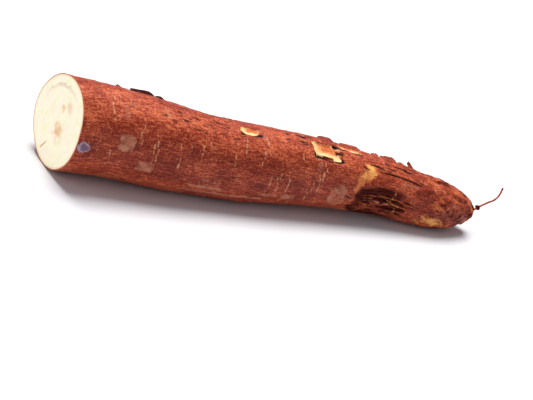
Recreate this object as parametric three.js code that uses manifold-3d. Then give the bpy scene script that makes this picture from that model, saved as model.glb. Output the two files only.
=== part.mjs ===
// A cassava root as it is sold: one swollen storage root, sawn off across its thick end and
// tapering to a blunt tip that ends in a wiry rootlet. It grew as one piece, so it is one mesh.
// Millimetres, +Z up. The root lies on its side along X, with the cut face towards -X,
// and the origin is under the middle of its outer box, on the surface that it rests on.
import * as THREE from 'three';
import { mergeVertices } from 'three/addons/utils/BufferGeometryUtils.js';
import Module from 'manifold-3d';

// Driving dimensions.
const rootLength = 322;
const axisHeight = 28.4; // of the middle of the cut face, over the surface
const axisFall = 0.045; // drop of the axis per millimetre, because the root tapers
const noseStart = 276; // where the taper turns into the blunt tip
const noseFullness = 0.56; // 0.5 would be an ellipse, 1 a parabola
const cutSkew = THREE.MathUtils.degToRad(6); // the saw cut isn't quite square
const skewReach = 60; // how far along the root the skew dies away
const rootletRadius = 0.75;
const rootletSections = 18;
const rootletSides = 8;
const knotRadius = 1.5;
const trimDepth = 20; // of the block that takes away what would lie under the surface
const weldDistance = 1e-3; // corners closer than this are one corner

// Distance from the cut, radius there, and how far the middle rises and sways off the straight axis.
const stations = [
  { along: 0, radius: 28.3, rise: 0, sway: 1.4 },
  { along: 32, radius: 27.0, rise: 0.6, sway: 0.8 },
  { along: 66, radius: 26.6, rise: -0.3, sway: -0.2 },
  { along: 100, radius: 25.0, rise: -0.6, sway: -0.3 },
  { along: 134, radius: 24.2, rise: 0.5, sway: 0.3 },
  { along: 170, radius: 22.5, rise: 2.4, sway: 1.5 },
  { along: 209, radius: 20.1, rise: 3.2, sway: 1.9 },
  { along: 248, radius: 18.3, rise: 2.5, sway: 1.6 },
  { along: noseStart, radius: 17.2, rise: 0.4, sway: 0.5 },
  { along: rootLength, radius: 16.4, rise: 0, sway: 0 },
];

// The sections aren't round: each has a few shallow lobes, as a share of the radius.
const lobes = [
  { count: 3, depth: 0.026, turn: 17, drift: 0.1 },
  { count: 5, depth: 0.008, turn: 60, drift: -0.35 },
  { count: 2, depth: 0.01, turn: 120, drift: 0.6 },
];

// The rootlet's route and its knot's middle, from the root's tip: along, across and up.
const rootletRoute = [
  [-8, 0, 0.2],
  [0, 0.3, 0.3],
  [6, 2, 3],
  [13, 4, 6],
  [20.5, 6, 8.8],
  [24.5, 8.2, 11.8],
  [27, 10.8, 16.5],
];
const knotOffset = [5.5, 1.8, 2.7];

const ringGap = 6; // between sections along the body
const noseRings = 12;
const segments = 40;

// A smooth curve through one value of the stations, with Catmull-Rom tangents.
function smoothValue(key, along) {
  const last = stations.length - 2;
  const found = stations.findIndex((s) => s.along > along) - 1;
  const i = found < 0 ? last : Math.min(found, last);
  const [a, b] = [stations[i], stations[i + 1]];
  const before = stations[Math.max(i - 1, 0)];
  const after = stations[Math.min(i + 2, last + 1)];
  const span = b.along - a.along;
  const t = (along - a.along) / span;
  const slopeA = ((b[key] - before[key]) / (b.along - before.along)) * span;
  const slopeB = ((after[key] - a[key]) / (after.along - a.along)) * span;
  return (
    (1 + 2 * t) * (1 - t) ** 2 * a[key] +
    t * (1 - t) ** 2 * slopeA +
    t * t * (3 - 2 * t) * b[key] +
    t * t * (t - 1) * slopeB
  );
}

function middleAt(along) {
  return new THREE.Vector3(
    along,
    smoothValue('sway', along),
    axisHeight - axisFall * along + smoothValue('rise', along),
  );
}

function radiusAt(along) {
  const nose = Math.max(0, (along - noseStart) / (rootLength - noseStart));
  return smoothValue('radius', along) * (1 - nose ** 2) ** noseFullness;
}

// A point of the skin, at an angle measured from +Y towards +Z.
function skinPoint(along, angle) {
  let radius = radiusAt(along);
  for (const { count, depth, turn, drift } of lobes) {
    const phase = THREE.MathUtils.degToRad(turn + drift * along);
    radius *= 1 + depth * Math.cos(count * angle + phase);
  }
  const point = middleAt(along);
  const across = radius * Math.cos(angle);
  const skewShare = Math.max(0, 1 - along / skewReach) ** 2;
  point.x -= skewShare * Math.tan(cutSkew) * (point.y + across);
  point.y += across;
  point.z += radius * Math.sin(angle);
  return point;
}

// Section positions: even along the body, then closing up towards the tip.
function sectionPlaces() {
  const bodyRings = Math.round(noseStart / ringGap);
  const places = [];
  for (let i = 0; i <= bodyRings; i++) places.push((noseStart * i) / bodyRings);
  for (let i = 1; i < noseRings; i++) {
    const turn = (Math.PI / 2) * (i / noseRings);
    places.push(noseStart + (rootLength - noseStart) * Math.sin(turn));
  }
  return places;
}

// The root's body: rings of skin joined by triangles, closed by the cut face and by the tip.
function bodyGeometry() {
  const places = sectionPlaces();
  const points = places.flatMap((along) =>
    Array.from({ length: segments }, (_, k) => skinPoint(along, (2 * Math.PI * k) / segments)),
  );
  const cutMiddle = middleAt(0);
  cutMiddle.x -= Math.tan(cutSkew) * cutMiddle.y;
  const cutIndex = points.push(cutMiddle) - 1;
  const tipIndex = points.push(middleAt(rootLength)) - 1;
  const lastRing = (places.length - 1) * segments;
  const triangles = [];
  for (let k = 0; k < segments; k++) {
    const next = (k + 1) % segments;
    triangles.push(cutIndex, next, k);
    triangles.push(tipIndex, lastRing + k, lastRing + next);
    for (let ring = 0; ring < lastRing; ring += segments) {
      const [a, b] = [ring + k, ring + next];
      const [c, d] = [a + segments, b + segments];
      triangles.push(a, b, c, b, d, c);
    }
  }
  return new THREE.BufferGeometry().setFromPoints(points).setIndex(triangles);
}

// The wiry rootlet that carries on from the tip and turns up at its end.
function rootletGeometry() {
  const tip = middleAt(rootLength);
  const points = rootletRoute.map((offset) => new THREE.Vector3(...offset).add(tip));
  const section = new THREE.Shape().absarc(0, 0, rootletRadius, 0, 2 * Math.PI);
  return new THREE.ExtrudeGeometry(section, {
    extrudePath: new THREE.CatmullRomCurve3(points),
    steps: rootletSections,
    curveSegments: rootletSides,
  });
}

// The small swelling near the rootlet's base.
function knotGeometry() {
  const place = new THREE.Vector3(...knotOffset).add(middleAt(rootLength));
  return new THREE.SphereGeometry(knotRadius, 10, 8).translate(place.x, place.y, place.z);
}

// Everything under the surface, which flattens the root slightly where it rests.
function belowSurface() {
  const block = new THREE.BoxGeometry(2 * rootLength, rootLength, trimDepth);
  return block.translate(rootLength / 2, 0, -trimDepth / 2);
}

const wasm = await Module();
wasm.setup();

function solidOf(geometry) {
  const bare = geometry.clone();
  bare.deleteAttribute('normal');
  bare.deleteAttribute('uv');
  const merged = mergeVertices(bare, weldDistance);
  return new wasm.Manifold(
    new wasm.Mesh({
      numProp: 3,
      vertProperties: merged.attributes.position.array,
      triVerts: new Uint32Array(merged.index.array),
    }),
  );
}

function geometryOf(solid) {
  const mesh = solid.getMesh();
  const geometry = new THREE.BufferGeometry();
  geometry.setAttribute('position', new THREE.BufferAttribute(mesh.vertProperties, 3));
  geometry.setIndex(new THREE.BufferAttribute(mesh.triVerts, 1));
  geometry.computeVertexNormals();
  return geometry;
}

const solid = solidOf(bodyGeometry())
  .add(solidOf(rootletGeometry()))
  .add(solidOf(knotGeometry()))
  .subtract(solidOf(belowSurface()));

const bark = new THREE.MeshStandardMaterial({ color: 0xa3492f, roughness: 0.62, metalness: 0 });
const cassavaRoot = new THREE.Mesh(geometryOf(solid), bark);
cassavaRoot.name = 'cassava_root';

const group = new THREE.Group();
group.add(cassavaRoot);
const outerBox = new THREE.Box3().setFromObject(group);
const middle = outerBox.getCenter(new THREE.Vector3());
group.position.set(-middle.x, -middle.y, -outerBox.min.z);

export default group;
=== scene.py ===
import itertools
import math

import bmesh
import bpy
import numpy as np
from mathutils import Matrix, Vector
from mathutils.bvhtree import BVHTree


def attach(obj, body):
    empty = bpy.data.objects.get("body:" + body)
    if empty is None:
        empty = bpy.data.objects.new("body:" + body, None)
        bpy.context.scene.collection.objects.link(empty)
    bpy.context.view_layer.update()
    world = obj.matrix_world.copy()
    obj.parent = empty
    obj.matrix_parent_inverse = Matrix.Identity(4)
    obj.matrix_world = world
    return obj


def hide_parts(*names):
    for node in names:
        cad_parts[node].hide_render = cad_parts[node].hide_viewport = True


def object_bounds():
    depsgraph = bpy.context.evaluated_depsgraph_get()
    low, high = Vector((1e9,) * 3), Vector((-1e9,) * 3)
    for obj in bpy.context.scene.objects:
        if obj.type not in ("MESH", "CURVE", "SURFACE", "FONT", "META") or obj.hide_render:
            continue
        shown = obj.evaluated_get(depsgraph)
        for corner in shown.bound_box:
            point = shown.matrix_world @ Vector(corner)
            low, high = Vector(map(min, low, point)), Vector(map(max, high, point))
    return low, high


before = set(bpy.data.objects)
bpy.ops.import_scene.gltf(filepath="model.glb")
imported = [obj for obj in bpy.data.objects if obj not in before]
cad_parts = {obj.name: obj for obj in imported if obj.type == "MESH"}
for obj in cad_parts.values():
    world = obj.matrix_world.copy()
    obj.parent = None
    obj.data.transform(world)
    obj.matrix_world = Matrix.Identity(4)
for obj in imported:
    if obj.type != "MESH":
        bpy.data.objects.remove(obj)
cadLow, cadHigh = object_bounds()

# A cassava root lying on a pale studio floor. Its skin is measured off the CAD root, then gets
# its bark relief: scars, cracks, bare patches, a folded hollow and a wrinkled nose.
# Places on the skin are (along, turn): millimetres from the saw cut, and degrees round the root
# from +Y towards +Z, so 90 is the top and 180 the side that faces the camera.

mm = 0.001


def hexToLinear(code):
    channels = [int(code[i:i + 2], 16) / 255 for i in (1, 3, 5)]
    linear = [c / 12.92 if c <= 0.04045 else ((c + 0.055) / 1.055) ** 2.4 for c in channels]
    return (*linear, 1.0)


def addNode(tree, kind, settings=None, links=None, stops=None):
    # settings are properties or input values, links go from an output to an input
    node = tree.nodes.new(kind)
    for name, value in (settings or {}).items():
        if isinstance(name, str) and hasattr(node, name):
            setattr(node, name, value)
        else:
            node.inputs[name].default_value = value
    for name, source in (links or {}).items():
        tree.links.new(source, node.inputs[name])
    if stops:
        ramp = node.color_ramp.elements
        while len(ramp) < len(stops):
            ramp.new(0.5)
        for element, (place, code) in zip(ramp, stops):
            element.position = place
            element.color = hexToLinear(code)
    return node


def addObject(name, data):
    added = bpy.data.objects.new(name, data)
    bpy.context.scene.collection.objects.link(added)
    return added


def addLayer(mesh, name, values):
    # one number for each point of the mesh, which its material reads by that name
    mesh.attributes.new(name, "FLOAT", "POINT").data.foreach_set("value", values)


def smoothStep(low, high, value):
    t = np.clip((value - low) / (high - low), 0, 1)
    return t * t * (3 - 2 * t)


latticeHash = {"steps": (73856093, 19349663, 83492791), "seedStep": 7919, "stir": 73244475}


def grain(places, size, seed):
    # smooth random values from -1 to 1, on a lattice with cells of that size in mm
    cells = places / np.array(size, float)
    low = np.floor(cells).astype(np.int64)
    part = cells - low
    part = part * part * (3 - 2 * part)
    total = np.zeros(places.shape[:-1])
    stepX, stepY, stepZ = latticeHash["steps"]
    for corner in itertools.product((0, 1), repeat=3):
        key = low + corner
        mixed = key[..., 0] * stepX ^ key[..., 1] * stepY ^ key[..., 2] * stepZ
        mixed = (mixed + seed * latticeHash["seedStep"]) & 0xFFFFFFFF
        for shift in (15, 13):
            mixed = ((mixed ^ (mixed >> shift)) * latticeHash["stir"]) & 0xFFFFFFFF
        value = ((mixed ^ (mixed >> 16)) & 0xFFFFFF) / 0x7FFFFF - 1
        weight = np.prod(np.where(np.array(corner) == 1, part, 1 - part), axis=-1)
        total += weight * value
    return total


def layeredGrain(places, size, seed, layers=3):
    size = np.array(size, float)
    return sum(grain(places, size / 2 ** k, seed + k) * 0.5 ** k for k in range(layers))


cameraView = {
    "lens": 100,  # mm
    "sensor": 36,
    "azimuth": -36.4,
    "elevation": 24.2,
    "roll": 25.5,  # so that the root, which lies flat, slopes down to the right
    "distance": 0.956,
    "aim": (-0.0110, 0.0038, -0.0050),
}


def placeCamera(look):
    azimuth = math.radians(look["azimuth"])
    elevation = math.radians(look["elevation"])
    roll = math.radians(look["roll"])
    back = Vector((
        math.sin(azimuth) * math.cos(elevation),
        -math.cos(azimuth) * math.cos(elevation),
        math.sin(elevation),
    ))
    level = Vector((math.cos(azimuth), math.sin(azimuth), 0))
    upright = back.cross(level)
    right = level * math.cos(roll) + upright * math.sin(roll)
    up = upright * math.cos(roll) - level * math.sin(roll)
    camera = addObject("root_camera", bpy.data.cameras.new("root_camera"))
    camera.data.lens = look["lens"]
    camera.data.sensor_width = look["sensor"]
    turn = Matrix((right, up, back)).transposed().to_4x4()
    camera.matrix_world = Matrix.Translation(Vector(look["aim"]) + back * look["distance"]) @ turn
    bpy.context.scene.camera = camera


placeCamera(cameraView)
print("camera placed")

rootSkin = {
    "sides": 208,
    "bodyRings": 360,
    "noseRings": 60,
    "noseShare": 0.86,  # of the length, where the rings start to close up
    "rootletReach": 0.0279,  # how far the wiry rootlet passes the tip
    "skewReach": 0.06,  # the slant of the saw cut dies away over this length
    "softRings": 4.0,  # facets of the CAD root are blurred over so many rings and sides
    "softSides": 4.5,
    "tipStart": 0.97,  # share of the nose after which the tip is rounded off by formula
    "tipPower": 0.62,
    "rayStart": 0.1,  # metres off the root
    "faceProbe": 0.015,  # metres off the middle, where two rays meet the saw cut
    "firstSection": 5e-5,  # metres from the cut
    "lastSection": 0.995,  # share of the length
}


def softened(values, rings, sides):
    def weights(reach):
        steps = np.arange(-int(3 * reach), int(3 * reach) + 1)
        share = np.exp(-0.5 * (steps / reach) ** 2)
        return steps, share / share.sum()
    steps, share = weights(rings)
    padded = np.pad(values, ((len(steps) // 2,) * 2, (0, 0)), mode="reflect", reflect_type="odd")
    count = len(values)
    values = sum(padded[k:k + count] * share[k] for k in range(len(steps)))
    if sides:
        steps, share = weights(sides)
        values = sum(np.roll(values, step, axis=1) * w for step, w in zip(steps, share))
    return values


def measureSkin(look):
    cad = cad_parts["cassava_root"].data
    corners = [v.co.copy() for v in cad.vertices]
    tree = BVHTree.FromPolygons(corners, [list(p.vertices) for p in cad.polygons])

    def hit(start, direction):
        return tree.ray_cast(Vector(start), Vector(direction).normalized())[0]

    # the saw cut's plane, from two rays into the face
    midHeight = cadHigh.z / 2
    away, probe = look["rayStart"], look["faceProbe"]
    near, far = (hit((cadLow.x - away, y, midHeight), (1, 0, 0)).x for y in (-probe, probe))
    slant = (far - near) / (2 * probe)
    cutX = (far + near) / 2
    length = cadHigh.x - look["rootletReach"] - cutX
    noseStart = length * look["noseShare"]
    turnIn = np.sin(np.pi / 2 * np.arange(look["noseRings"]) / look["noseRings"])
    body = np.linspace(0, noseStart, look["bodyRings"], endpoint=False)
    along = np.concatenate([body, noseStart + (length - noseStart) * turnIn])
    skew = slant * np.maximum(0, 1 - along / look["skewReach"]) ** 2
    turn = np.linspace(0, 2 * np.pi, look["sides"], endpoint=False)
    inside = np.clip(along, look["firstSection"], length * look["lastSection"])

    middle = np.zeros((len(along), 2))
    for i, place in enumerate(inside):
        x = cutX + place
        top = hit((x, 0, cadHigh.z + away), (0, 0, -1)).z
        bottom = hit((x, 0, -away), (0, 0, 1)).z
        height = (top + bottom) / 2
        left = hit((x, 0, height), (skew[i], 1, 0)).y
        right = hit((x, 0, height), (-skew[i], -1, 0)).y
        middle[i] = (left + right) / 2, height
    middle = softened(middle, look["softRings"], 0)

    radius = np.zeros((len(along), look["sides"]))
    for i, place in enumerate(inside):
        y, z = middle[i]
        start = (cutX + place + skew[i] * y, y, z)
        for j, angle in enumerate(turn):
            across, rise = math.cos(angle), math.sin(angle)
            found = hit(start, (skew[i] * across, across, rise))
            radius[i, j] = math.hypot(found.y - y, found.z - z) if found else radius[i - 1, j]
    radius = softened(radius, look["softRings"], look["softSides"])

    # the last few rings run through the rootlet's base, so they are rounded off by formula
    nose = np.clip((along - noseStart) / (length - noseStart), 0, 1)
    first = int(np.argmax(nose > look["tipStart"]))
    share = (1 - nose[first:] ** 2) / (1 - nose[first] ** 2)
    radius[first:] = radius[first] * (share ** look["tipPower"])[:, None]
    middle[first:] = middle[first]
    return {"along": along, "turn": turn, "middle": middle, "radius": radius,
            "skew": skew, "cutX": cutX, "length": length}


skin = measureSkin(rootSkin)
alongMm = skin["along"][:, None] / mm + np.zeros_like(skin["radius"])
turnDeg = np.degrees(skin["turn"])[None, :] + np.zeros_like(skin["radius"])
radiusMm = skin["radius"] / mm
placesMm = np.stack([
    alongMm,
    radiusMm * np.cos(np.radians(turnDeg)),
    radiusMm * np.sin(np.radians(turnDeg)),
], axis=-1)
print("skin measured,", radiusMm.size, "points,", round(skin["length"] / mm), "mm long")

# each feature of the bark adds to the relief, in mm, and to the masks that colour it
relief = np.zeros_like(radiusMm)
masks = {name: np.zeros_like(radiusMm) for name in
         ("bare", "bareTone", "scar", "crack", "lip", "scuff", "dark", "tan", "mark", "markRim", "flankToneAndLight")}
farOutside = -5.0  # mm, what the bare mask says away from every patch
masks["bare"] += farOutside


def arcFrom(turn):
    # mm round the root from that turn, growing downwards on the camera's side
    return radiusMm * np.radians((turnDeg - turn + 180) % 360 - 180)


def addMask(name, amount):
    masks[name] = np.maximum(masks[name], amount)


barkLumps = {
    "broad": (0.5, (60, 26, 26)),  # height in mm, and size of a lump along and across
    "middle": (0.3, (18, 9, 9)),
    "fibre": (0.13, (7, 1.9, 1.9)),
    "crust": (0.17, (3.0, 2.6, 2.6)),
}


def raiseLumps(look):
    global relief
    for seed, (height, size) in enumerate(look.values()):
        relief += height * layeredGrain(placesMm, size, 11 + seed * 5, 2)


ringScars = {
    "count": 230,
    "reach": 300,  # mm along, where the rows stop
    "halfTurn": (3, 9),  # degrees
    "width": (0.45, 0.75),
    "height": 0.26,
    "rowGap": 8.5,  # mm between the rings that most of the dashes keep to
    "rowScatter": 1.5,
    "seed": 4,
    # longer chains of dashes, on the side that faces the camera
    "chains": 18,
    "chainAlong": (8, 190),
    "chainTurn": (105, 170),
    "chainSweep": (12, 40),  # degrees
    "chainLean": 1.5,  # mm
    "chainLink": 9,  # degrees from one dash to the next
}


def raiseRingScars(look):
    # short raised dashes that run round the root, like lenticel scars
    global relief
    rng = np.random.default_rng(look["seed"])
    wander = grain(placesMm, (7, 5, 5), 71)
    dashes = []
    for _ in range(look["count"]):
        row = rng.integers(1, look["reach"] // look["rowGap"])
        place = row * look["rowGap"] + look["rowScatter"] * rng.normal()
        turn, halfTurn = rng.uniform(0, 360), rng.uniform(*look["halfTurn"])
        dashes.append((place, turn, halfTurn, rng.uniform(0.3, 0.9)))
    for _ in range(look["chains"]):
        place = rng.uniform(*look["chainAlong"])
        turn = rng.uniform(*look["chainTurn"])
        sweep = rng.uniform(*look["chainSweep"])
        lean = look["chainLean"] * rng.normal()
        links = max(2, round(sweep / look["chainLink"]))
        for link in range(links):
            t = (link + 0.5) / links
            at = place + lean * (t - 0.5) + 0.5 * rng.normal()
            dashes.append((at, turn + sweep * t, sweep / links * 0.6, rng.uniform(0.8, 1.15)))
    for place, turn, halfTurn, strength in dashes:
        width = rng.uniform(*look["width"])
        offset = alongMm - place - 0.8 * wander
        share = 1 - np.abs((turnDeg - turn + 180) % 360 - 180) / halfTurn
        dash = np.exp(-(offset / width) ** 2) * smoothStep(0, 0.5, share) * strength
        relief += look["height"] * dash
        addMask("scar", dash)


barkCracks = {
    # along from and to, turn from and to, how many, half length, depth in mm
    "shoulder": (56, 116, 72, 128, 46, (1.4, 4.0), 0.42),
    "besidePatch": (146, 163, 90, 112, 9, (2.2, 5.0), 0.5),
    "upperBack": (208, 262, 84, 130, 22, (2.5, 6.5), 0.45),
    "hollow": (212, 256, 176, 222, 13, (5.0, 12.0), 0.85),
    "nose": (262, 308, 90, 220, 22, (1.5, 4.5), 0.35),
    "allRound": (8, 300, 0, 360, 110, (1.0, 3.4), 0.24),
}
crackSeed = 9
longCracks = [
    # along and turn at both ends, width and depth in mm
    (219, 126, 266, 131, 0.75, 0.8),
    (170, 126, 184, 131, 0.9, 1.0),
    (199, 185, 206, 192, 0.9, 0.9),
    (211, 206, 232, 218, 1.3, 1.2),
    (232, 187, 256, 199, 0.8, 0.9),
]


def cutCracks(look, long):
    global relief
    rng = np.random.default_rng(crackSeed)
    wander = grain(placesMm, (9, 7, 7), 83)
    for place, turn, placeEnd, turnEnd, width, depth in long:
        share = (alongMm - place) / (placeEnd - place)
        arc = arcFrom(turn + (turnEnd - turn) * share) + 1.1 * wander
        ends = smoothStep(0, 0.12, share) * smoothStep(0, 0.12, 1 - share)
        gap = np.exp(-(arc / width) ** 2) * ends * (0.75 + 0.4 * wander)
        edge = np.exp(-((arc + 1.6 * width) / width) ** 2) * ends
        relief += depth * (0.5 * edge - gap)
        addMask("crack", gap * 1.1)
        addMask("lip", edge * 0.7)
    for low, high, turnLow, turnHigh, count, halfLengths, depth in look.values():
        for _ in range(count):
            place, turn = rng.uniform(low, high), rng.uniform(turnLow, turnHigh)
            halfLength, width = rng.uniform(*halfLengths), rng.uniform(0.4, 0.62)
            arc = arcFrom(turn) + 0.9 * wander
            ends = smoothStep(0, 0.6, 1 - np.abs(alongMm - place) / halfLength)
            gap = np.exp(-(arc / width) ** 2) * ends
            edge = np.exp(-((arc + 1.5 * width) / width) ** 2) * ends
            relief += depth * (0.6 * edge - gap)
            addMask("crack", gap * min(1, depth * 1.9))
            addMask("lip", edge * min(1, depth * 1.6))


barePatches = {
    # along, turn, half length, half width, depth in mm
    "small": (121, 105, 6.4, 3.0, 0.7),
    "large": (179.5, 113.5, 11.5, 5.8, 0.95),
    "strip": (201, 94.5, 9.0, 1.6, 0.5),
    "hiddenSide": (86, 318, 6.5, 3.4, 0.6),
    "hiddenTip": (231, 12, 8.0, 3.8, 0.6),
}


def peelPatches(look):
    # bark flaked off down to the paler inner bark, with a jagged edge, and painted shade in the undercut
    # under its lower edge
    global relief
    jag = 1.9 * layeredGrain(placesMm, (6.0, 4.0, 4.0), 91, 3)
    gaps = smoothStep(-0.35, 0.25, layeredGrain(placesMm, (7, 7, 7), 95, 2))
    for place, turn, halfLength, halfWidth, depth in look.values():
        arc = arcFrom(turn)
        reach = (np.abs((alongMm - place) / halfLength) ** 4 + np.abs(arc / halfWidth) ** 4) ** 0.25
        frayed = jag * min(1, halfWidth / 4)
        edge = (1 - reach) * min(halfLength, halfWidth) + 0.75 * frayed
        edge = np.where(reach < 3, edge, farOutside)
        relief -= depth * smoothStep(-0.2, 0.7, edge)
        masks["bare"] = np.maximum(masks["bare"], edge)
        tone = smoothStep(-0.15 * halfWidth, 0.7 * halfWidth, arc + 0.5 * jag)
        corner = smoothStep(0.2, 0.9, (place - alongMm) / halfLength)
        tone = np.maximum(tone, np.maximum(0.75 * corner, 0.2 * smoothStep(1.0, 0.1, edge)))
        addMask("bareTone", np.where(edge > -1.5, tone, 0))
        # painted shade: the groove under the patch's lower edge takes the crack colour
        undercutShade = np.exp(-((edge + 0.75) / 0.6) ** 2) * smoothStep(0.2, 0.75, arc / halfWidth) * gaps
        relief -= 0.8 * undercutShade
        addMask("crack", undercutShade * 1.15)
        above = np.exp(-((edge + 0.7) / 0.6) ** 2) * smoothStep(0.1, -0.6, arc / halfWidth)
        relief += 0.35 * above


rubbedPlaces = {
    # along, turn, half length, half width, strength
    "square": (33, 165, 5.6, 5.4, 1.1),
    "ridge": (50, 190, 6.5, 3.4, 0.95),
    "nearCut": (30, 127, 2.6, 4.2, 0.9),
    "shoulder": (36, 114, 4.0, 2.6, 0.8),
    "shoulderLow": (58, 113, 3.5, 3.0, 0.75),
    "belly": (95, 204, 14.0, 1.2, 1.3),
    "bellyWisp": (98, 214, 20.0, 1.4, 1.1),
    "bellyLong": (127, 212, 13.0, 1.1, 1.2),
    "bellyRise": (140, 203, 9.0, 1.3, 1.1),
    "bellyEnd": (157, 204, 6.0, 2.2, 1.1),
    "middle": (96, 194, 8.0, 3.5, 0.6),
    "beforeHollow": (194, 190, 6.5, 7.5, 0.95),
    "underPatch": (173, 148, 2.6, 5.0, 0.75),
    "noseStreak": (253, 139, 8.0, 0.9, 1.1),
    "hollowStreak": (241, 187, 8.0, 1.3, 1.1),
    "hiddenA": (60, 300, 11.0, 4.0, 0.7),
    "hiddenB": (150, 350, 15.0, 3.4, 0.7),
    "hiddenC": (215, 320, 9.0, 3.6, 0.6),
}


def rubPlaces(look):
    fray = layeredGrain(placesMm, (5, 3.2, 3.2), 101, 4)
    fleck = layeredGrain(placesMm, (4.0, 2.4, 2.4), 107, 3)
    for place, turn, halfLength, halfWidth, strength in look.values():
        reach = ((alongMm - place) / halfLength) ** 4 + (arcFrom(turn) / halfWidth) ** 4
        addMask("scuff", strength * (0.85 + 0.3 * fleck) * smoothStep(1.4, 0.5, reach + 0.7 * fray))


foldedHollow = {
    "along": 234,
    "turn": 199,
    "halfLength": 30,  # mm, as are the rest
    "halfWidth": 13.0,
    "depth": 2.5,
    "foldGap": 5.0,
    "foldHeight": 0.95,
    "ledge": 206,  # where its steep end stands, in mm along
}


def sinkHollow(look):
    global relief
    arc = arcFrom(look["turn"])
    wander = layeredGrain(placesMm, (20, 6, 6), 111, 2)
    tear = layeredGrain(placesMm, (8, 3.5, 3.5), 117, 3)
    reach = ((alongMm - look["along"]) / look["halfLength"]) ** 2 + (arc / look["halfWidth"]) ** 2
    share = smoothStep(1.15, 0.1, reach + 0.25 * wander + 0.22 * tear)
    folds = np.cos(2 * np.pi * (arc + 3.0 * wander + 0.7 * tear) / look["foldGap"])
    steep = smoothStep(look["ledge"] - 1, look["ledge"] + 3.5, alongMm - 3.5 * wander - 2.5 * tear)
    share = share * steep
    relief -= share * (look["depth"] - look["foldHeight"] * folds)
    relief += 0.9 * np.exp(-((alongMm - look["ledge"] + 2) / 2.2) ** 2) * smoothStep(1.3, 0.5, reach)
    # painted shade: the hollow is darkened, most in the valleys of its folds, and painted shade runs round
    # its rim on the half nearer the ledge
    addMask("dark", share * (0.95 - 0.35 * folds) * (1.0 + 0.4 * wander))
    rimShade = np.exp(-((reach - 0.8 + 0.3 * wander) / 0.4) ** 2) * steep
    addMask("dark", 1.1 * rimShade * smoothStep(34, -2, alongMm - look["along"]))
    addMask("scar", 0.75 * share * smoothStep(0.75, 1, folds) * smoothStep(0.0, 0.6, wander))


tanScar = {
    # where its middle runs, from the top down: along, turn, half width in mm
    "route": [(217, 124, 4.2), (217, 132, 6.0), (213, 146, 5.4), (208.5, 160, 4.6), (206, 173, 3.0)],
    "depth": 0.35,
    "haloWidth": 1.7,  # of the orange round it, as a share of its own width
}
paleSpots = {
    "belly": (279, 204, 10.5, 3.4, 0.85),
    "bellyEdge": (267, 214, 5.0, 2.2, 0.6),
    "underStrip": (218, 86, 6.0, 1.2, 0.5),
}


def stainTan(scar, spots):
    # yellow-tan places with ragged edges, the largest with orange round it
    global relief
    fray = layeredGrain(placesMm, (3.2, 2.4, 2.4), 121, 3)
    route = np.array(scar["route"], float)
    turns = np.clip(turnDeg, route[0, 1], route[-1, 1])
    middle = np.interp(turns, route[:, 1], route[:, 0])
    halfWidth = np.interp(turns, route[:, 1], route[:, 2])
    past = radiusMm * np.radians(np.abs(turnDeg - turns))
    reach = np.hypot((alongMm - middle) / halfWidth, past / 2.2)
    share = smoothStep(1.75, 0.0, reach + 0.75 * fray)
    relief -= scar["depth"] * share
    addMask("tan", share * (0.45 + 0.55 * smoothStep(160, 132, turnDeg)))
    addMask("lip", 0.85 * smoothStep(1.2, 0.2, reach / scar["haloWidth"] + 0.5 * fray))
    for place, turn, halfLength, width, strength in spots.values():
        reach = np.hypot((alongMm - place) / halfLength, arcFrom(turn) / width)
        addMask("tan", strength * smoothStep(1.7, 0.0, reach + 0.75 * fray))


blueMark = {"along": 4.8, "turn": 179, "halfLength": 4.3, "halfWidth": 3.1}


def stainMark(look):
    past = (alongMm - look["along"]) / look["halfLength"]
    reach = np.hypot(past, arcFrom(look["turn"]) / look["halfWidth"])
    reach = reach + 0.32 * layeredGrain(placesMm, (4, 3, 3), 131, 3)
    addMask("mark", smoothStep(1.1, 0.9, reach))
    addMask("markRim", np.exp(-((reach - 0.84) / 0.2) ** 2))


wrinkledNose = {
    "from": 238,  # mm along where the wrinkles start
    "to": 284,  # and where they are full
    "height": 0.7,
    "size": (7.0, 5.0, 5.0),
    "blotch": (6, 3.2, 3.2),
    "tipShade": 20,  # mm at the tip that darken
}


def wrinkleNose(look):
    global relief
    share = smoothStep(look["from"], look["to"], alongMm)
    folds = 1 - 2 * np.abs(layeredGrain(placesMm, look["size"], 141, 2))
    relief += look["height"] * share * folds
    blotches = layeredGrain(placesMm, look["blotch"], 151, 3)
    addMask("dark", share * smoothStep(-0.3, 0.8, blotches) * 0.78)
    addMask("lip", share * smoothStep(-0.2, 0.8, -blotches) * 0.75)
    end = skin["length"] / mm
    addMask("dark", smoothStep(end - look["tipShade"], end, alongMm) * 0.9)


# painted light, partly the bark's own tone: bands of paler bark round the upper flank and the belly's edge
paleLitFlanks = {"back": (120, 22, 0.95), "belly": (232, 17, 1.4)}  # turn, spread in degrees, strength


def paintFlankLight(look):
    # paler, more orange bark along the upper flank and along the edge of the belly: partly the bark's own
    # tone, partly painted light from the lamp overhead and from the floor under the root
    for turn, spread, strength in look.values():
        litShare = np.exp(-((turnDeg - turn) / spread) ** 2)
        addMask("flankToneAndLight", strength * litShare * (0.85 + 0.5 * smoothStep(70, 20, alongMm)))


raiseLumps(barkLumps)
paintFlankLight(paleLitFlanks)
raiseRingScars(ringScars)
sinkHollow(foldedHollow)
wrinkleNose(wrinkledNose)
cutCracks(barkCracks, longCracks)
rubPlaces(rubbedPlaces)
stainTan(tanScar, paleSpots)
stainMark(blueMark)
peelPatches(barePatches)

# the relief fades at the tip, where the rings are tiny, and at the rim of the cut
relief *= smoothStep(0, 6, radiusMm) * (0.35 + 0.65 * smoothStep(0, 3, alongMm))
print("bark relief from", round(float(relief.min()), 2), "to", round(float(relief.max()), 2), "mm")


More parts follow.
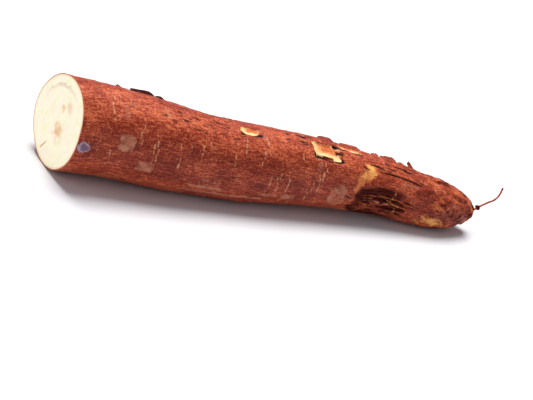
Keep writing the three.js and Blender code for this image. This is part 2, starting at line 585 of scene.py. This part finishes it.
def skinPlace(alongAt, turnAt, height=0.0):
    # a point over the finished skin, in metres, with the height in mm
    i = np.interp(alongAt * mm, skin["along"], np.arange(len(skin["along"])))
    j = (turnAt % 360) / 360 * rootSkin["sides"]
    i0, j0 = int(i), int(j)
    i1, j1 = min(i0 + 1, len(skin["along"]) - 1), j0 + 1
    bulk = skin["radius"] + relief * mm
    sides = rootSkin["sides"]
    ends = [(1 - (j - j0)) * bulk[k, j0 % sides] + (j - j0) * bulk[k, j1 % sides] for k in (i0, i1)]
    radius = ends[0] * (1 - (i - i0)) + ends[1] * (i - i0) + height * mm
    y, z = skin["middle"][i0] * (1 - (i - i0)) + skin["middle"][i1] * (i - i0)
    across = radius * math.cos(math.radians(turnAt))
    skew = np.interp(alongAt * mm, skin["along"], skin["skew"])
    up = max(0.0, z + radius * math.sin(math.radians(turnAt)))
    return Vector((skin["cutX"] + alongAt * mm + skew * (y + across), y + across, up))


sawnFace = {
    "rings": 20,
    "rimShare": 0.985,  # where the first ring stands, as a share of the way out
    "crowding": 1.25,  # of the rings towards the rim
    "sawMark": 0.06,  # mm
    # stains: across, up, size and strength, in mm from the middle
    "spots": [
        (-4.6, -3.9, 6.6, 0.8),
        (-5.4, -2.4, 2.6, 1.1),
        (-3.2, -5.6, 2.4, 1.0),
        (-2.0, 9.8, 3.2, 0.6),
        (-8.0, 12.0, 4.2, 0.55),
        (-5.5, -9.5, 3.0, 0.6),
        (-13.0, 2.0, 4.0, 0.25),
        (8.0, 4.0, 6.0, 0.25),
    ],
    "crack": ((6.0, -22.0), (2.6, -16.5)),
    "shadeDepth": 6.6,  # mm in from the rim
    "shadeTurn": 68,
}
bakeLayout = {
    # where the strip of bark and the disc of the face lie on the baked square
    "stripStart": 0.01,
    "stripLength": 0.78,
    "tip": (0.8, 0.5),
    "discMiddle": (0.9, 0.5),
    "discRadius": 0.09,
}


def onFlat(places):
    # places across and up, as places that the grain can take
    return np.stack([places[..., 0], places[..., 1], np.zeros_like(places[..., 0])], axis=-1)


def faceMasks(look, places, depth, angle):
    # places are mm from the middle of the face, across and up
    fray = layeredGrain(onFlat(places), (3, 3, 3), 161, 3)
    stain = np.zeros_like(depth)
    for across, up, size, strength in look["spots"]:
        reach = np.hypot(places[..., 0] - across, places[..., 1] - up) / size
        stain = np.maximum(stain, strength * smoothStep(1.3, 0.1, reach + 0.5 * fray))
    start, end = (np.array(p) for p in look["crack"])
    t = np.clip(((places - start) @ (end - start)) / ((end - start) @ (end - start)), 0, 1)
    away = np.linalg.norm(places - start - t[..., None] * (end - start), axis=-1)
    crack = np.exp(-(away / 0.7) ** 2)
    ring = np.exp(-((depth - look["shadeDepth"] - 0.8 * fray) / 1.3) ** 2)
    ring = ring * (0.25 + 0.75 * np.exp(-(((angle - look["shadeTurn"] + 180) % 360 - 180) / 42) ** 2))
    return {"faceStain": stain, "faceCrack": crack, "faceRing": ring}


def joinRings(rings, faceRings, sides):
    # quads along the bark and across the face, then a fan to the middle of each end
    faceFirst = rings * sides
    centreIndex = faceFirst + faceRings * sides
    tipIndex = centreIndex + 1
    polygons, onFace = [], []
    for ring in range(rings - 1):
        for k in range(sides):
            a, b = ring * sides + k, ring * sides + (k + 1) % sides
            polygons.append((a, b, b + sides, a + sides))
            onFace.append(0)
    for ring in range(faceRings):
        first = faceFirst + (ring - 1) * sides if ring else 0
        second = faceFirst + ring * sides
        for k in range(sides):
            n = (k + 1) % sides
            polygons.append((first + n, first + k, second + k, second + n))
            onFace.append(1)
    lastFace = centreIndex - sides
    lastBark = faceFirst - sides
    for k in range(sides):
        n = (k + 1) % sides
        polygons.append((lastFace + n, lastFace + k, centreIndex))
        onFace.append(1)
        polygons.append((lastBark + k, lastBark + n, tipIndex))
        onFace.append(0)
    return polygons, onFace


def unrollRoot(mesh, look, onFace, facePlaces, rimPlaces):
    # UVs for baking: the bark unrolled in one strip, the face as a disc beside it
    rings, sides = skin["radius"].shape
    faceFirst, centreIndex = rings * sides, len(mesh.vertices) - 2
    faceSize = np.hypot(rimPlaces[:, 0], rimPlaces[:, 1]).max()

    def onDisc(places):
        return places / faceSize * look["discRadius"] + look["discMiddle"]

    uv = np.zeros((len(mesh.vertices), 2))
    strip = np.repeat(skin["along"] / skin["length"], sides)
    uv[:faceFirst, 0] = look["stripStart"] + look["stripLength"] * strip
    uv[:faceFirst, 1] = np.tile(np.arange(sides) / sides, rings)
    uv[faceFirst:centreIndex] = onDisc(facePlaces.reshape(-1, 2))
    uv[centreIndex] = look["discMiddle"]
    uv[centreIndex + 1] = look["tip"]
    rimUv = onDisc(rimPlaces)

    corners = np.zeros(len(mesh.loops), int)
    starts = np.zeros(len(mesh.polygons), int)
    counts = np.zeros(len(mesh.polygons), int)
    mesh.loops.foreach_get("vertex_index", corners)
    mesh.polygons.foreach_get("loop_start", starts)
    mesh.polygons.foreach_get("loop_total", counts)
    loops = uv[corners]
    for start, count, isFace in zip(starts, counts, onFace):
        part = loops[start:start + count, 1]
        if isFace:
            for loop in range(start, start + count):
                if corners[loop] < sides:
                    loops[loop] = rimUv[corners[loop]]
        elif count == 4 and part.max() - part.min() > 0.5:
            part[part < 0.5] += 1  # the strip's last quad wraps round
    loops[:, 1] = np.clip(loops[:, 1], 0, 1)
    mesh.uv_layers.new(name="OFBake").data.foreach_set("uv", loops.ravel())


def buildRoot():
    sides, rings = rootSkin["sides"], len(skin["along"])
    radius = skin["radius"] + relief * mm
    y = skin["middle"][:, :1] + radius * np.cos(skin["turn"])
    z = np.maximum(0, skin["middle"][:, 1:] + radius * np.sin(skin["turn"]))
    x = skin["cutX"] + skin["along"][:, None] + skin["skew"][:, None] * y
    bark = np.stack([x, y, z], axis=-1)

    # face rings shrink from the rim to the middle
    shares = 1 - (np.arange(1, sawnFace["rings"]) / sawnFace["rings"]) ** sawnFace["crowding"]
    shares = np.concatenate([[sawnFace["rimShare"]], shares])
    middleY, middleZ = skin["middle"][0]
    faceY = middleY + (y[0] - middleY) * shares[:, None]
    faceZ = middleZ + (z[0] - middleZ) * shares[:, None]
    places = np.stack([faceY - middleY, faceZ - middleZ], axis=-1) / mm
    rimPlaces = np.stack([y[0] - middleY, z[0] - middleZ], axis=-1) / mm
    rimRadius = np.hypot(y[0] - middleY, z[0] - middleZ) / mm
    depth = rimRadius[None, :] * (1 - shares[:, None])
    angle = np.degrees(skin["turn"])[None, :] + 0 * depth
    saw = grain(onFlat(places), (30, 1.6, 9), 171)
    sawDepth = sawnFace["sawMark"] * mm * (saw - 1) * (depth > 0.6)
    faceX = skin["cutX"] + skin["skew"][0] * faceY + sawDepth
    face = np.stack([faceX, faceY, faceZ], axis=-1)

    faceCentre = np.array([skin["cutX"] + skin["skew"][0] * middleY, middleY, middleZ])
    tip = np.array([skin["cutX"] + skin["length"], *skin["middle"][-1]])
    points = np.concatenate([bark.reshape(-1, 3), face.reshape(-1, 3), [faceCentre], [tip]])
    polygons, onFace = joinRings(rings, len(shares), sides)
    mesh = bpy.data.meshes.new("root_bark")
    mesh.from_pydata(points.tolist(), [], polygons)
    mesh.polygons.foreach_set("material_index", onFace)
    mesh.polygons.foreach_set("use_smooth", [True] * len(polygons))

    # a crisp rim where the saw went through the bark
    ends = np.zeros(len(mesh.edges) * 2, int)
    mesh.edges.foreach_get("vertices", ends)
    rim = (ends.reshape(-1, 2) < sides).all(axis=1)
    mesh.attributes.new("sharp_edge", "BOOLEAN", "EDGE").data.foreach_set("value", rim)

    # the face takes no bark mask and the bark no face mask, and the last two points are the ends
    for name, values in masks.items():
        empty = farOutside if name == "bare" else 0.0
        addLayer(mesh, name, np.concatenate([values.ravel(), np.full(len(points) - values.size, empty)]))
    faceLayers = faceMasks(sawnFace, places, depth, angle)
    faceLayers["faceDepth"] = depth
    for name, values in faceLayers.items():
        full = np.concatenate([np.zeros(rings * sides), values.ravel(), [0, 0]])
        if name == "faceDepth":
            full[-2] = rimRadius.mean()
        addLayer(mesh, name, full)
    unrollRoot(mesh, bakeLayout, onFace, places, rimPlaces)
    mesh.update()
    return addObject("root_bark", mesh)


rootBark = buildRoot()
print("root built,", len(rootBark.data.polygons), "faces")

barkFinish = {
    # size of a pattern's cell in mm along and across, its detail, and its share of the colour
    "patterns": {
        "blotch": ((22, 8, 8), 5, 0.24),
        "fibre": ((6, 0.8, 0.8), 4, 0.34),
        "speck": ((1.3, 1.0, 1.0), 3, 0.30),
        "dash": ((0.8, 3.6, 3.6), 2, 0.12),  # fine scars that run round the root
    },
    "tones": [(0.39, "#551709"), (0.468, "#7f2a18"), (0.525, "#a44129"), (0.61, "#d8744a")],
    "warp": 2.5,  # mm, so that the fibres waver as they run
    "warpCell": 11,
    "fray": 1.3,  # how much the specks break up the edge of a mask
    "paleLitShift": 0.034,
}
barkLayers = {
    # from the lowest up: colour where thin and where full, the mask there, and the most it covers
    "scuff": {"thin": "#ae6248", "full": "#cb8d6e", "from": 0.2, "to": 1.15, "share": 0.78},
    # the dark layer carries the bark's dark blotches, the dark flakes and the rootlet's knot, and the painted
    # shade in the hollow
    "dark": {"thin": "#4b1712", "full": "#1d0608", "from": 0.2, "to": 0.95, "share": 0.88},
    "scar": {"thin": "#c67a50", "full": "#e3aa84", "from": 0.25, "to": 0.8, "share": 0.75},
    "lip": {"thin": "#c4592c", "full": "#e58c50", "from": 0.3, "to": 0.9, "share": 0.8},
    "tan": {"thin": "#dc6c2c", "full": "#ffc870", "from": 0.15, "to": 0.95, "share": 0.85},
    "mark": {"thin": "#94809c", "full": "#765668", "from": 0.2, "to": 0.9, "share": 0.8},
    "markRim": {"thin": "#8f7f9c", "full": "#bbb0c6", "from": 0.2, "to": 1.0, "share": 0.85},
    "bare": {"thin": "#cb5f2c", "full": "#ffdc98", "from": -0.1, "to": 0.25, "share": 1.0},
    # the crack layer also carries the painted shade in the undercuts under the bare patches
    "crack": {"thin": "#2e0d07", "full": "#180603", "from": 0.3, "to": 0.75, "share": 1.0},
}


def driedCassavaBark(look, layers):
    # Cassava periderm: a thin papery cork, dried, and often waxed before it is sold. It gives a
    # satin, fibrous, red-brown skin that is orange where it lifts and cream where it is lost.
    material = bpy.data.materials.new("dried_cassava_bark")
    material.use_nodes = True
    tree = material.node_tree
    tree.nodes.clear()

    place = addNode(tree, "ShaderNodeTexCoord").outputs["Object"]
    sway = addNode(tree, "ShaderNodeTexNoise", {"Scale": 1 / (look["warpCell"] * mm), "Detail": 2},
                   {"Vector": place}).outputs["Color"]
    place = addNode(tree, "ShaderNodeVectorMath",
                    {"operation": "MULTIPLY_ADD", 1: (look["warp"] * mm,) * 3},
                    {0: sway, 2: place}).outputs[0]

    # the patterns are added up by their shares
    pattern, soFar = {}, {}
    for name, (size, detail, share) in look["patterns"].items():
        cells = addNode(tree, "ShaderNodeMapping", {"Scale": [1 / (side * mm) for side in size]},
                        {"Vector": place}).outputs[0]
        pattern[name] = addNode(tree, "ShaderNodeTexNoise",
                                {"Scale": 1, "Detail": detail, "Roughness": 0.6},
                                {"Vector": cells}).outputs[0]
        added = addNode(tree, "ShaderNodeMath", {"operation": "MULTIPLY_ADD", 1: share, 2: 0},
                        {0: pattern[name], **soFar})
        soFar = {2: added.outputs[0]}
    # painted light, partly the bark's own tone: the flank bands move the bark up its ramp of tones
    flankToneAndLight = addNode(tree, "ShaderNodeAttribute", {"attribute_name": "flankToneAndLight"}).outputs["Fac"]
    tone = addNode(tree, "ShaderNodeMath", {"operation": "MULTIPLY_ADD", 1: look["paleLitShift"]},
                   {0: flankToneAndLight, **soFar}).outputs[0]
    colour = addNode(tree, "ShaderNodeValToRGB", None, {"Fac": tone}, look["tones"]).outputs[0]

    # every mask is broken up by the specks, so that its edge is ragged at half a millimetre
    ragged = addNode(tree, "ShaderNodeMath",
                     {"operation": "MULTIPLY_ADD", 1: look["fray"], 2: -look["fray"] / 2},
                     {0: pattern["speck"]}).outputs[0]
    covers = {}
    for name, layer in layers.items():
        reach = {}
        for mask in (name, "bareTone") if name == "bare" else (name,):
            value = addNode(tree, "ShaderNodeAttribute", {"attribute_name": mask}).outputs["Fac"]
            reach[mask] = addNode(tree, "ShaderNodeMath", {"operation": "ADD"},
                                  {0: value, 1: ragged}).outputs[0]
        covers[name] = addNode(tree, "ShaderNodeMapRange", {
            "From Min": layer["from"], "From Max": layer["to"], "To Max": layer["share"],
            "interpolation_type": "SMOOTHSTEP",
        }, {"Value": reach[name]}).outputs[0]
        depth = addNode(tree, "ShaderNodeMapRange", {
            "From Min": 0 if name == "bare" else layer["from"],
            "From Max": 1 if name == "bare" else layer["to"] + 0.3,
        }, {"Value": reach[mask]}).outputs[0]
        shade = addNode(tree, "ShaderNodeMix", {
            "data_type": "RGBA", 6: hexToLinear(layer["thin"]), 7: hexToLinear(layer["full"]),
        }, {0: depth}).outputs[2]
        colour = addNode(tree, "ShaderNodeMix", {"data_type": "RGBA"},
                         {0: covers[name], 6: colour, 7: shade}).outputs[2]

    # waxed cork is satin, bare inner bark matt, and old dark bark has lost its shine, as has the painted
    # shade in the hollow
    satin = addNode(tree, "ShaderNodeMapRange",
                    {"From Min": 0.3, "From Max": 0.7, "To Min": 0.42, "To Max": 0.62},
                    {"Value": pattern["speck"]}).outputs[0]
    matt = addNode(tree, "ShaderNodeMath", {"operation": "MULTIPLY", 1: 0.72}, {0: covers["bare"]}).outputs[0]
    rough = addNode(tree, "ShaderNodeMath", {"operation": "MAXIMUM"}, {0: satin, 1: matt}).outputs[0]
    shine = addNode(tree, "ShaderNodeMapRange", {"From Max": 0.88, "To Min": 0.2, "To Max": 0.02},
                    {"Value": covers["dark"]}).outputs[0]
    height = addNode(tree, "ShaderNodeMix", {"Factor": 0.42},
                     {2: pattern["fibre"], 3: pattern["speck"]}).outputs[0]
    bump = addNode(tree, "ShaderNodeBump", {"Strength": 0.55, "Distance": 0.42 * mm},
                   {"Height": height}).outputs[0]
    # cork's IOR is near 1.5, and the wax film is about the same
    shader = addNode(tree, "ShaderNodeBsdfPrincipled", {"IOR": 1.48}, {
        "Base Color": colour, "Roughness": rough, "Specular IOR Level": shine, "Normal": bump,
    })
    addNode(tree, "ShaderNodeOutputMaterial", None, {"Surface": shader.outputs[0]})
    return material


fleshFinish = {
    "flesh": [(0.36, "#f8ead3"), (0.5, "#f6f1d6"), (0.66, "#f0ecc0")],
    "mottle": 6,  # mm
    "starch": 0.7,
}
fleshLayers = [
    # mask, colour, where it starts and is full, and the most it covers
    ("faceRing", "#d0b58e", 0.1, 1, 0.7),
    ("faceStain", "#dc9a58", 0.05, 1, 0.8),
    ("faceCrack", "#b07c35", 0.2, 0.9, 0.7),
    ("faceDepth", "#f1d9b0", 2.1, 1.1, 0.9),
    ("faceDepth", "#a4512f", 0.85, 0.35, 0.95),
]


def sawnCassavaFlesh(look, layers):
    # Raw starchy flesh just sawn through: matt, a little translucent, with a damp grain.
    material = bpy.data.materials.new("sawn_cassava_flesh")
    material.use_nodes = True
    tree = material.node_tree
    tree.nodes.clear()

    place = addNode(tree, "ShaderNodeTexCoord").outputs["Object"]
    mottle, starch = (
        addNode(tree, "ShaderNodeTexNoise", {"Scale": 1 / (look[name] * mm), "Detail": 3},
                {"Vector": place}).outputs[0]
        for name in ("mottle", "starch")
    )
    colour = addNode(tree, "ShaderNodeValToRGB", None, {"Fac": mottle}, look["flesh"]).outputs[0]
    for mask, code, start, full, share in layers:
        value = addNode(tree, "ShaderNodeAttribute", {"attribute_name": mask}).outputs["Fac"]
        cover = addNode(tree, "ShaderNodeMapRange", {
            "From Min": start, "From Max": full, "To Max": share, "interpolation_type": "SMOOTHSTEP",
        }, {"Value": value}).outputs[0]
        colour = addNode(tree, "ShaderNodeMix", {"data_type": "RGBA", 7: hexToLinear(code)},
                         {0: cover, 6: colour}).outputs[2]
    bump = addNode(tree, "ShaderNodeBump", {"Strength": 0.3, "Distance": 0.2 * mm},
                   {"Height": starch}).outputs[0]
    # starch and water come to an IOR near 1.4
    shader = addNode(tree, "ShaderNodeBsdfPrincipled", {
        "IOR": 1.42, "Roughness": 0.62, "Subsurface Weight": 0.12,
        "Subsurface Radius": (1.0, 0.7, 0.4), "Subsurface Scale": 2 * mm,
    }, {"Base Color": colour, "Normal": bump})
    addNode(tree, "ShaderNodeOutputMaterial", None, {"Surface": shader.outputs[0]})
    return material


barkMaterial = driedCassavaBark(barkFinish, barkLayers)
rootBark.data.materials.append(barkMaterial)
rootBark.data.materials.append(sawnCassavaFlesh(fleshFinish, fleshLayers))
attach(rootBark, "root")
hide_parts("cassava_root")
print("materials made")

barkFlakes = {
    # along, turn, length, width, lift at the free edge in mm, side of the free edge, darkness, taper
    "dark": (40, 73, 16, 5.4, 3.0, 1, 1.4, 0.0),
    "darkEnd": (58.5, 74, 4.5, 3.4, 1.9, 1, 1.3, 0.1),
    "redBump": (31, 76, 3.0, 3.0, 1.6, 1, 0.0, 0.4),
    "patchTop": (178, 76, 13, 4.6, 2.3, 1, 0.5, 0.0),
    "longCurl": (196, 77, 17, 4.4, 2.1, 1, 0.3, 0.0),
    "bump": (224, 76, 5, 4.0, 1.9, 1, 0.15, 0.1),
    "curl": (231, 76, 14, 4.8, 2.6, 1, 0.5, 0.0),
    "small": (247, 80, 5, 3.0, 1.1, 1, 0.3, 0.3),
    "spike": (255.5, 77, 5.5, 3.8, 4.6, 1, 0.45, 0.85),
    "patchCorner": (187, 112, 7, 2.6, 1.3, -1, 0.85, 0.1),
    "patchUnder": (176, 127, 9, 2.6, 1.0, -1, 0.6, 0.1),
    "hollowLip": (214, 219, 22, 4.6, 1.7, 1, 0.0, 0.1),
    "hollowFold": (222, 200, 15, 2.8, 1.3, -1, 0.4, 0.1),
    "hollowEdge": (208, 207, 9, 3.0, 1.2, 1, 0.3, 0.2),
    "tipSpur": (312, 178, 5.0, 3.0, 1.6, 1, 0.7, 0.5),
    "hiddenSide": (78, 309, 12, 4.0, 1.4, -1, 0.2, 0.05),
    "hiddenTip": (224, 2, 12, 4.0, 1.5, 1, 0.2, 0.05),
}
flakeMesh = {"steps": 30, "lanes": 9, "thickness": 1.4, "root": -0.6, "jag": 0.2, "hinge": 0.45}


def buildFlake(name, place, turn, length, width, lift, side, darkness, taper, look, seed):
    steps, lanes = look["steps"], look["lanes"]
    upper, lower = [], []
    radius = np.interp(place * mm, skin["along"], skin["radius"].mean(axis=1)) / mm
    rng = np.random.default_rng(seed)
    ragged = np.convolve(rng.uniform(-1, 1, steps + 5), np.ones(2) / 2, mode="same")[2:-3]
    for i in range(steps):
        u = i / (steps - 1)
        fray = ragged[i] + math.sin(4.1 * u + 1.7 * seed)
        reach = (1 - abs(2 * u - 1) ** 8) * (1 + look["jag"] * fray) + 0.04
        for j in range(lanes):
            v = j / (lanes - 1)
            turnAt = turn - side * math.degrees((v * reach - 0.5) * width / radius)
            rise = look["hinge"] + (1 - look["hinge"]) * u  # torn loose from the end nearer the tip
            height = look["root"] + lift * rise * v ** 1.3 * min(1, reach)
            sway = (0.5 * ragged[(i + 2) % steps] + 0.9 * math.sin(3 * v + seed)) * v
            alongAt = place + length * (0.5 + (u - 0.5) * (1 - taper * v)) + sway
            thick = look["thickness"] * (1 - 0.3 * v)
            upper.append(skinPlace(alongAt, turnAt, height + thick / 2))
            lower.append(skinPlace(alongAt, turnAt, height - thick / 2))
    count = steps * lanes
    polygons = []
    for i in range(steps - 1):
        for j in range(lanes - 1):
            a = i * lanes + j
            quad = (a, a + lanes, a + lanes + 1, a + 1)
            polygons.append(quad)
            polygons.append(tuple(k + count for k in reversed(quad)))
    border = list(range(lanes))
    border += [i * lanes + lanes - 1 for i in range(1, steps)]
    border += [(steps - 1) * lanes + j for j in range(lanes - 2, -1, -1)]
    border += [i * lanes for i in range(steps - 2, 0, -1)]
    for a, b in zip(border, border[1:] + border[:1]):
        polygons.append((a, b, b + count, a + count))
    mesh = bpy.data.meshes.new(name)
    mesh.from_pydata([tuple(p) for p in upper + lower], [], polygons)
    mesh.polygons.foreach_set("use_smooth", [True] * len(polygons))
    addLayer(mesh, "dark", [darkness] * (2 * count))
    addLayer(mesh, "bare", [farOutside] * (2 * count))
    mesh.update()
    return mesh


def addFlakes(flakes, look):
    for seed, (name, flake) in enumerate(flakes.items()):
        mesh = buildFlake("bark_flake_" + name, *flake, look, seed)
        piece = addObject(mesh.name, mesh)
        shape = bmesh.new()
        shape.from_mesh(mesh)
        bmesh.ops.recalc_face_normals(shape, faces=shape.faces)
        shape.to_mesh(mesh)
        shape.free()
        mesh.materials.append(barkMaterial)
        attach(piece, "root")


addFlakes(barkFlakes, flakeMesh)
print("flakes lifted,", len(barkFlakes))

tailRootlet = {
    # its route from the tip, in mm along, across and up
    "route": [
        (-8, 0, 0.2),
        (0, 0.3, 0.3),
        (6, 2, 3),
        (13, 4, 6),
        (20.5, 6, 8.8),
        (24.5, 8.2, 11.8),
        (27, 10.8, 16.5),
    ],
    "radius": 0.68,
    "knotAt": 14.2,  # mm along the route
    "knotRadius": 1.15,  # more than the wire's
    "sides": 14,
    "steps": 90,
}


def buildRootlet(look):
    tip = Vector((skin["cutX"] + skin["length"], *skin["middle"][-1]))
    knots = [tip + Vector(p) * mm for p in look["route"]]
    path = []
    pieces = look["steps"] // (len(knots) - 1)
    for k in range(len(knots) - 1):
        before, after = knots[max(k - 1, 0)], knots[min(k + 2, len(knots) - 1)]
        a, b = knots[k], knots[k + 1]
        for i in range(pieces):
            t = i / pieces
            path.append(0.5 * (2 * a + (b - before) * t + (2 * before - 5 * a + 4 * b - after) * t * t
                               + (3 * a - before - 3 * b + after) * t ** 3))
    path.append(knots[-1])
    points, distances, travelled = [], [], 0
    side = Vector((0, 0, 1))
    for i, here in enumerate(path):
        ahead = (path[min(i + 1, len(path) - 1)] - path[max(i - 1, 0)]).normalized()
        side = (side - ahead * side.dot(ahead)).normalized()
        other = ahead.cross(side)
        if i:
            travelled += (here - path[i - 1]).length / mm
        distances.append(travelled)
        knot = look["knotRadius"] * math.exp(-((travelled - look["knotAt"]) / 1.3) ** 4)
        for k in range(look["sides"]):
            angle = 2 * math.pi * k / look["sides"]
            rough = 0.09 * math.sin(3 * angle + 0.9 * travelled) + 0.06 * math.sin(2.3 * travelled)
            swell = knot * (1 + 0.35 * math.sin(3 * angle + 1.7 * travelled))
            radius = (look["radius"] * (1 + rough) + swell) * mm
            points.append(here + side * radius * math.cos(angle) + other * radius * math.sin(angle))
    sides, count = look["sides"], len(path)
    polygons = []
    for i in range(count - 1):
        for k in range(sides):
            a, b = i * sides + k, i * sides + (k + 1) % sides
            polygons.append((a, b, b + sides, a + sides))
    polygons.append(tuple(reversed(range(sides))))
    polygons.append(tuple(range((count - 1) * sides, count * sides)))
    mesh = bpy.data.meshes.new("tail_rootlet")
    mesh.from_pydata([tuple(p) for p in points], [], polygons)
    mesh.polygons.foreach_set("use_smooth", [True] * len(polygons))
    knotted = 1.2 * np.exp(-((np.repeat(distances, sides) - look["knotAt"]) / 1.7) ** 4)
    addLayer(mesh, "dark", knotted)
    addLayer(mesh, "bare", np.full(len(points), farOutside))
    mesh.update()
    piece = addObject("tail_rootlet", mesh)
    mesh.materials.append(barkMaterial)
    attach(piece, "root")


buildRootlet(tailRootlet)
print("rootlet grown")

studio = {
    "floorHalf": 6.0,  # metres
    "floorDrop": 0.0002,  # so that the floor and the flat underside don't share a plane
    "floor": "#dedddf",
    "world": "#f2eff8",
    "worldStrength": 0.31,
    "lampStrength": 4.55,
    "lampAngle": 38,  # degrees, as wide as a big softbox close overhead
    "lampFrom": (0.0, 0.42, 1.0),
    "sideStrength": 1.0,  # a low lamp off the sawn end, which lights the face and grazes the bark
    "sideAngle": 50,
    "sideFrom": (-1.0, -0.05, 0.22),
}


def buildStudio(look):
    half = look["floorHalf"]
    mesh = bpy.data.meshes.new("studio_floor")
    corners = [(-half, -half, 0), (half, -half, 0), (half, half, 0), (-half, half, 0)]
    mesh.from_pydata(corners, [], [(0, 1, 2, 3)])
    floor = addObject("studio_floor", mesh)
    floor.location.z = -look["floorDrop"]
    paper = bpy.data.materials.new("matt_paper_sweep")
    paper.use_nodes = True
    shader = paper.node_tree.nodes["Principled BSDF"]
    shader.inputs["Base Color"].default_value = hexToLinear(look["floor"])
    shader.inputs["Roughness"].default_value = 0.9
    shader.inputs["Specular IOR Level"].default_value = 0.1
    mesh.materials.append(paper)

    world = bpy.data.worlds.new("studio_air")
    world.use_nodes = True
    air = world.node_tree.nodes["Background"]
    air.inputs["Color"].default_value = hexToLinear(look["world"])
    air.inputs["Strength"].default_value = look["worldStrength"]
    bpy.context.scene.world = world

    for name, kind in (("overhead_softbox", "lamp"), ("end_softbox", "side")):
        lamp = addObject(name, bpy.data.lights.new(name, "SUN"))
        lamp.data.energy = look[kind + "Strength"]
        lamp.data.angle = math.radians(look[kind + "Angle"])
        lamp.rotation_mode = "QUATERNION"
        lamp.rotation_quaternion = Vector(look[kind + "From"]).to_track_quat("Z", "Y")
    bpy.context.scene.view_settings.view_transform = "Standard"


buildStudio(studio)
print("studio lit")
